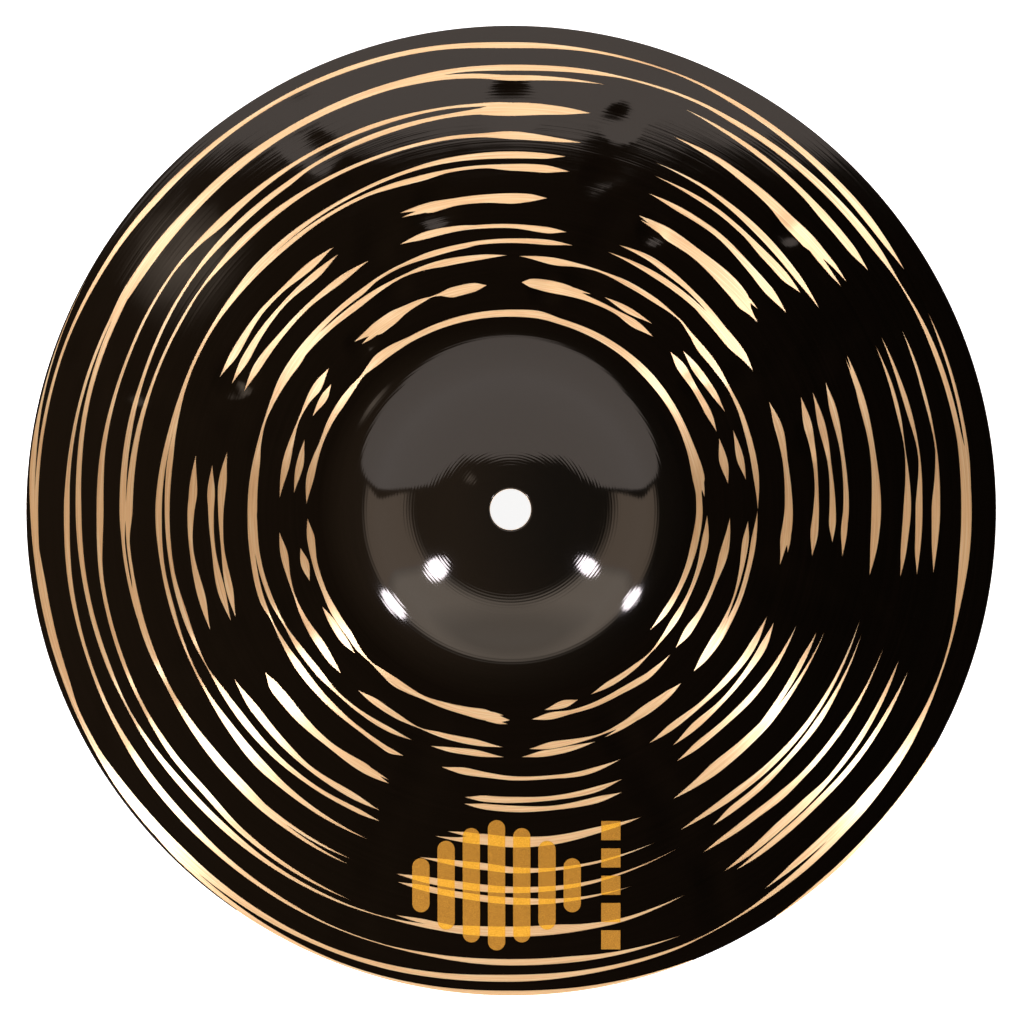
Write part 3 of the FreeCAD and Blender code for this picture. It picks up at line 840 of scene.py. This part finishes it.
def floor_material():
    nodes = Nodes("floor")
    nodes.set(Base_Color=(0.82, 0.82, 0.82, 1), Roughness=0.9)
    nodes.set(Emission_Color=(1, 1, 1, 1), Emission_Strength=0.9)
    return nodes.material


# ---- Pieces -------------------------------------------------------------------------------------------
def build_pieces():
    cuts = [Cut(stops) for stops in CUTS]
    points, triangles = build_net(cuts)
    centres = points[triangles].mean(axis=1)
    reach = np.hypot(centres[:, 0], centres[:, 1])
    on_face = (reach > FINISH_INNER) & (reach < FINISH_OUTER)
    cut_through = cut_depth(cuts, centres) > 0
    printed = in_emblem(centres)

    finish = finish_material()
    bronze = bronze_material()

    plate = make_plate("bronze_plate")
    plate.data.materials.append(bronze)
    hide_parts("cymbal_plate")

    face = make_sheet("finish_top", points, triangles[on_face & ~cut_through], top, 1, FILM, rim_wrap())
    face.data.materials.append(finish)
    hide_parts("dark_finish_top")

    mirrored = points * (-1, 1)
    below = (reach > FINISH_INNER) & (reach < UNDERSIDE_OUTER) & ~cut_through
    back = make_sheet("finish_underside", mirrored, triangles[below][:, ::-1], under, -1, FILM)
    back.data.materials.append(finish)
    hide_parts("dark_finish_underside")

    emblem = make_sheet(
        "emblem", points, triangles[printed], lambda x, y: top(x, y) + PRINT, 1, PRINT,
        slots=cut_through[printed].astype(int),
    )
    for ink in (
        ("gold_ink", (0.29, 0.12, 0.006), (0.43, 0.185, 0.014)),
        ("gold_ink_on_bronze", (0.58, 0.25, 0.008), (0.74, 0.36, 0.026)),
    ):
        emblem.data.materials.append(ink_material(*ink))
    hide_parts("printed_emblem")

    for piece in (plate, face, back, emblem):
        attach(piece, "root")


# ---- Room ---------------------------------------------------------------------------------------------
def aim(thing, place, target):
    """Puts a light at a place and points it at the target."""
    thing.location = place
    thing.rotation_euler = (Vector(target) - Vector(place)).to_track_quat("-Z", "Y").to_euler()


def area_light(name, place, size, watts, colour=(1, 1, 1), target=(0, 0, 0)):
    """A soft round light that the camera doesn't see, aimed at the target."""
    data = bpy.data.lights.new(name, "AREA")
    data.shape = "ELLIPSE"
    data.size, data.size_y = size
    data.energy = watts
    data.color = colour
    light = bpy.data.objects.new(name, data)
    light.visible_camera = False
    bpy.context.scene.collection.objects.link(light)
    aim(light, place, target)
    return light


def direction(angle, off_vertical, distance):
    """A point at that angle round the plate, that far off the vertical."""
    flat = distance * sine(off_vertical)
    return (flat * cosine(angle), flat * sine(angle), distance * cosine(off_vertical))


LAMP_DISTANCE, LAMP_TILT, LAMP_COLOUR = 1.3, 49.0, (0.86, 0.96, 1.25)
LAMPS = ((218, (0.23, 0.28), 9.5), (324, (0.18, 0.26), 7.0))     # angle, size and power
# The large light hangs over the +Y side, with room left for the camera in the middle of its near edge.
BANK_HEIGHT, BANK_FAR, BANK_LIGHT = 1.0, 3.0, 2.6
BANK_EDGE = (
    (BANK_FAR, 0.50), (2.1, 0.37), (1.2, 0.29), (1.05, 0.29), (0.8, 0.37), (0.62, 0.48), (0.5, 0.53),
    (0.3, 0.52), (0.0, 0.495), (-0.28, 0.505), (-0.47, 0.53), (-0.6, 0.45), (-0.76, 0.36), (-0.9, 0.29),
    (-1.2, 0.29), (-2.1, 0.37), (-BANK_FAR, 0.50),
)
# A small light with a narrow beam shines on the bow alone: its place, its target, its size, beam and power.
PATCH_PLACE, PATCH_TARGET, PATCH_SIZE = (-0.457, 0.357, 1.0), (-0.103, 0.080, 0.01), (0.17, 0.23)
PATCH_BEAM, PATCH_WATTS = 8.0, 0.0005


def make_bank():
    """The large light, one flat glowing sheet that the camera doesn't see."""
    outline = [(-BANK_FAR, BANK_FAR), (BANK_FAR, BANK_FAR), *BANK_EDGE]
    corners = [(x, y, BANK_HEIGHT) for x, y in outline]
    mesh = bpy.data.meshes.new("bank")
    mesh.from_pydata(corners, [], [tuple(range(len(corners)))])
    nodes = Nodes("bank")
    nodes.set(Base_Color=(0, 0, 0, 1), Emission_Color=(0.96, 0.99, 1.09, 1), Emission_Strength=BANK_LIGHT)
    mesh.materials.append(nodes.material)
    bank = add_piece("bank", mesh)
    bank.visible_camera = False


def light_room():
    for index, (angle, size, watts) in enumerate(LAMPS):
        place = direction(angle, LAMP_TILT, LAMP_DISTANCE)
        area_light("lamp_%d" % index, place, size, watts, LAMP_COLOUR)
    patch = area_light("patch", PATCH_PLACE, PATCH_SIZE, PATCH_WATTS, target=PATCH_TARGET)
    patch.data.spread = math.radians(PATCH_BEAM)
    make_bank()
    bpy.context.scene.world = room_world()


ROOM_LIGHT = 3.95            # how bright the room's brightest side is
WALLS_END = 15.0             # the pale walls end this far off the vertical, in degrees, towards +Y
SIDE_WALL = (0.66, 0.6, 0.55)


def grey(level):
    return (level, level, level)


def room_world():
    """A dark ceiling, a little lighter on the left, above pale walls at the sides and in front, which are
    dark low down, and a white strip along the floor's far edge."""
    world = bpy.data.worlds.new("room")
    world.use_nodes = True
    tree = world.node_tree
    place = tree.nodes.new("ShaderNodeTexCoord").outputs["Generated"]

    def shade(axis, stops):
        """Colours by how far a direction goes along an axis."""
        along = tree.nodes.new("ShaderNodeVectorMath")
        along.operation = "DOT_PRODUCT"
        along.inputs[1].default_value = axis
        tree.links.new(place, along.inputs[0])
        ramp = tree.nodes.new("ShaderNodeValToRGB")
        fill_ramp(ramp, stops)
        tree.links.new(along.outputs["Value"], ramp.inputs["Fac"])
        return ramp.outputs["Color"]

    def mixed(kind, first, second):
        """Two shades blended in full."""
        mix = tree.nodes.new("ShaderNodeMix")
        mix.data_type = "RGBA"
        mix.blend_type = kind
        mix.inputs["Factor"].default_value = 1
        tree.links.new(first, mix.inputs["A"])
        tree.links.new(second, mix.inputs["B"])
        return mix.outputs["Result"]

    ceiling = shade((0.7, 0, 0.5), ((0.1, (0.095, 0.070, 0.048)), (0.7, (0.012, 0.009, 0.006))))
    under_ceiling = shade((0, 0.118, 1), ((0.556, grey(1)), (0.64, grey(0))))
    sides = tree.nodes.new("ShaderNodeRGB").outputs[0]
    sides.default_value = (*SIDE_WALL, 1)
    front = shade((0, -1, 0), ((0.3, grey(0)), (0.5, grey(1)), (0.7, grey(1)), (0.85, grey(0.68))))
    near = shade((0, -cosine(WALLS_END), sine(WALLS_END)), ((0.0, grey(0)), (0.01, grey(1))))
    above_dado = shade((0, 0, 1), ((0.27, grey(0.25)), (0.33, grey(1))))
    horizon = shade((0, 0, 1), ((0.02, grey(0.3)), (0.03, grey(0))))
    walls = mixed("LIGHTEN", sides, front)
    for part in (under_ceiling, near, above_dado):
        walls = mixed("MULTIPLY", walls, part)
    lit = mixed("LIGHTEN", mixed("LIGHTEN", ceiling, walls), horizon)
    tree.links.new(lit, tree.nodes["Background"].inputs["Color"])
    tree.nodes["Background"].inputs["Strength"].default_value = ROOM_LIGHT
    return world


FLOOR_REACH, FLOOR_LEVEL = 6.0, -0.0002


def make_floor():
    mesh = bpy.data.meshes.new("floor")
    corners = ((-1, -1), (1, -1), (1, 1), (-1, 1))
    places = [(x * FLOOR_REACH, y * FLOOR_REACH, FLOOR_LEVEL) for x, y in corners]
    mesh.from_pydata(places, [], [(0, 1, 2, 3)])
    mesh.materials.append(floor_material())
    add_piece("floor", mesh)


def make_camera():
    data = bpy.data.cameras.new("camera")
    data.lens, data.sensor_width = LENS, SENSOR
    data.clip_end = 100
    camera = bpy.data.objects.new("camera", data)
    camera.location = (*EYE_PLACE, EYE_HEIGHT)
    lean_x, lean_y = (math.atan2(aimed - placed, EYE_HEIGHT) for placed, aimed in zip(EYE_PLACE, EYE_TARGET))
    camera.rotation_euler = (lean_y, -lean_x, 0)
    bpy.context.scene.collection.objects.link(camera)
    bpy.context.scene.camera = camera


build_pieces()
light_room()
make_floor()
make_camera()
bpy.context.scene.view_settings.view_transform = "Standard"
